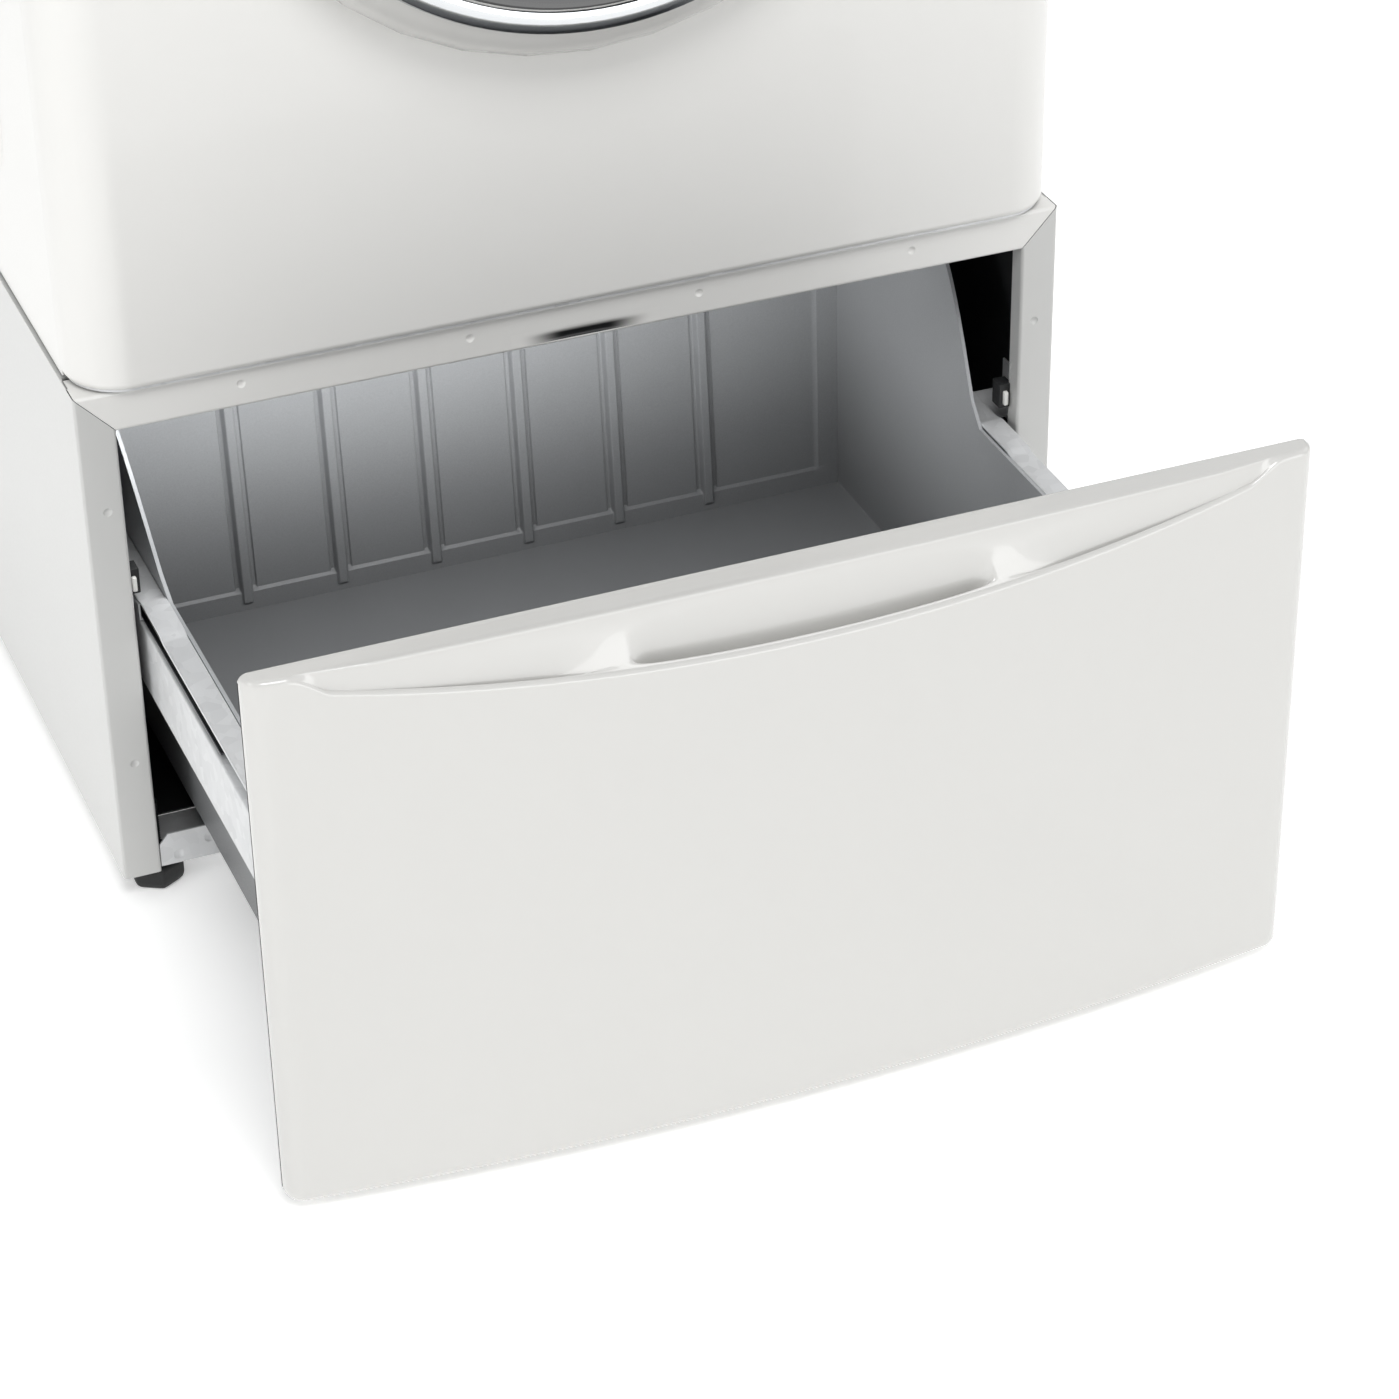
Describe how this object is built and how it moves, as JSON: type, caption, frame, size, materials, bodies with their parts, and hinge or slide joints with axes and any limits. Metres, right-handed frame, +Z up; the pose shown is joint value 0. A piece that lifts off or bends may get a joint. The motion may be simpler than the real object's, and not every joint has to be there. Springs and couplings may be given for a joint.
{
  "type": "front-loading washing machine on a storage drawer pedestal",
  "caption": "White front-loading washing machine with a round glass door, standing on a pedestal whose bow-fronted storage drawer stands open on telescopic slides.",
  "frame": {"origin": "on the floor, under the middle of the machine's box with the storage drawer open as at rest", "axes": "+Z up, door and drawer face -Y, +X to the right seen from the front"},
  "size_m": [0.686, 1.068, 1.3495],
  "materials": {
    "white_enamel": "gloss white powder enamel on folded sheet steel",
    "white_gloss_plastic": "high-gloss white moulded plastic",
    "galvanised_steel": "satin galvanised sheet steel with faint spangle",
    "dark_steel": "blackened, oiled rolled steel",
    "grey_plastic": "fine-grained mid-grey moulded plastic",
    "tub_plastic": "off-white glass-filled polypropylene",
    "black_rubber": "black rubber and nylon",
    "gasket_rubber": "mid-grey moulded door rubber",
    "stainless": "brushed stainless drum steel",
    "cast_aluminium": "as-cast aluminium",
    "bearing_steel": "ground bearing steel",
    "cast_iron": "grey cast iron, rough",
    "chrome": "satin chrome",
    "door_glass": "clear pressed glass",
    "window_black": "dark glossy display window"
  },
  "bodies": {
    "cabinet": {"pedestal_left_side": "white_enamel", "cabinet_slide_left": "galvanised_steel", "washer_left_side": "white_enamel", "suspension_spring_left": "galvanised_steel", "damper_left": "dark_steel", "pedestal_right_side": "white_enamel", "cabinet_slide_right": "galvanised_steel", "washer_right_side": "white_enamel", "suspension_spring_right": "galvanised_steel", "damper_right": "dark_steel", "pedestal_top_rail": "white_enamel", "pedestal_bottom_rail": "galvanised_steel", "pedestal_back_panel": "galvanised_steel", "washer_front_panel": "white_enamel", "washer_rear_panel": "galvanised_steel", "top_panel": "white_enamel", "base_pan": "galvanised_steel", "top_brace": "galvanised_steel", "control_panel": "white_gloss_plastic", "display_window": "window_black", "dispenser_housing": "grey_plastic", "door_hinge_bracket": "chrome", "door_lock": "black_rubber", "door_gasket": "gasket_rubber", "front_bearing": "bearing_steel", "rear_bearing": "bearing_steel", "tub_front_shell": "tub_plastic", "tub_rear_shell": "tub_plastic", "counterweight": "cast_iron", "drive_belt": "black_rubber", "drive_motor": "cast_aluminium", "drain_pump": "grey_plastic", "sump_hose": "black_rubber", "inlet_valve": "tub_plastic", "cable_gland": "black_rubber"},
    "drawer": {"drawer_front": "white_gloss_plastic", "drawer_liner": "grey_plastic", "storage_tub": "grey_plastic", "drawer_rail_left": "galvanised_steel", "drawer_rail_right": "galvanised_steel"},
    "middle_slides": {"middle_slide_left": "dark_steel", "middle_slide_right": "dark_steel"},
    "door": {"door_frame": "white_gloss_plastic", "door_glass": "door_glass", "door_inner_ring": "grey_plastic"},
    "drum": {"drum_shell": "stainless", "drum_lifter_1": "grey_plastic", "drum_lifter_2": "grey_plastic", "drum_lifter_3": "grey_plastic", "drum_spider": "cast_aluminium", "drum_pulley": "cast_aluminium"},
    "motor_rotor": {"motor_pulley": "cast_aluminium"},
    "knob": {"cycle_knob": "chrome"},
    "power_key": {"power_button": "white_gloss_plastic"},
    "start_key": {"start_button": "white_gloss_plastic"},
    "dispenser_drawer": {"detergent_drawer": "white_gloss_plastic"},
    "foot_front_left": {"front_left_foot": "black_rubber"},
    "foot_front_right": {"front_right_foot": "black_rubber"},
    "foot_rear_left": {"rear_left_foot": "black_rubber"},
    "foot_rear_right": {"rear_right_foot": "black_rubber"}
  },
  "joints": [
    {"name": "drawer_slide", "type": "slide", "parent": "cabinet", "child": "drawer", "axis": [0, -1, 0], "range_m": [-0.343, 0.08]},
    {"name": "middle_slide_run", "type": "slide", "parent": "cabinet", "child": "middle_slides", "axis": [0, -1, 0], "range_m": [-0.1715, 0.04]},
    {"name": "door_hinge", "type": "hinge", "parent": "cabinet", "child": "door", "pos_m": [-0.25, -0.178, 0.8145], "axis": [0, 0, -1], "range_deg": [0, 130]},
    {"name": "drum_spin", "type": "hinge", "parent": "cabinet", "child": "drum", "pos_m": [0, 0.15, 0.8145], "axis": [0, 1, 0], "continuous": true},
    {"name": "motor_spin", "type": "hinge", "parent": "cabinet", "child": "motor_rotor", "pos_m": [0, 0.45, 0.4595], "axis": [0, 1, 0], "continuous": true},
    {"name": "knob_turn", "type": "hinge", "parent": "cabinet", "child": "knob", "pos_m": [-0.05, -0.17, 1.28], "axis": [0, 1, 0], "continuous": true},
    {"name": "power_press", "type": "slide", "parent": "cabinet", "child": "power_key", "axis": [0, 1, 0], "range_m": [0, 0.002], "stiffness_N_per_m": 400},
    {"name": "start_press", "type": "slide", "parent": "cabinet", "child": "start_key", "axis": [0, 1, 0], "range_m": [0, 0.002], "stiffness_N_per_m": 400},
    {"name": "dispenser_slide", "type": "slide", "parent": "cabinet", "child": "dispenser_drawer", "axis": [0, -1, 0], "range_m": [0, 0.21]},
    {"name": "front_left_foot_turn", "type": "hinge", "parent": "cabinet", "child": "foot_front_left", "pos_m": [-0.316, -0.129, 0.03], "axis": [0, 0, 1], "continuous": true},
    {"name": "front_right_foot_turn", "type": "hinge", "parent": "cabinet", "child": "foot_front_right", "pos_m": [0.316, -0.129, 0.03], "axis": [0, 0, 1], "continuous": true},
    {"name": "rear_left_foot_turn", "type": "hinge", "parent": "cabinet", "child": "foot_rear_left", "pos_m": [-0.316, 0.489, 0.03], "axis": [0, 0, 1], "continuous": true},
    {"name": "rear_right_foot_turn", "type": "hinge", "parent": "cabinet", "child": "foot_rear_right", "pos_m": [0.316, 0.489, 0.03], "axis": [0, 0, 1], "continuous": true}
  ],
  "couplings": [
    {"joint": "middle_slide_run", "follows": "drawer_slide", "ratio": 0.5},
    {"joint": "motor_spin", "follows": "drum_spin", "ratio": 10.833}
  ]
}
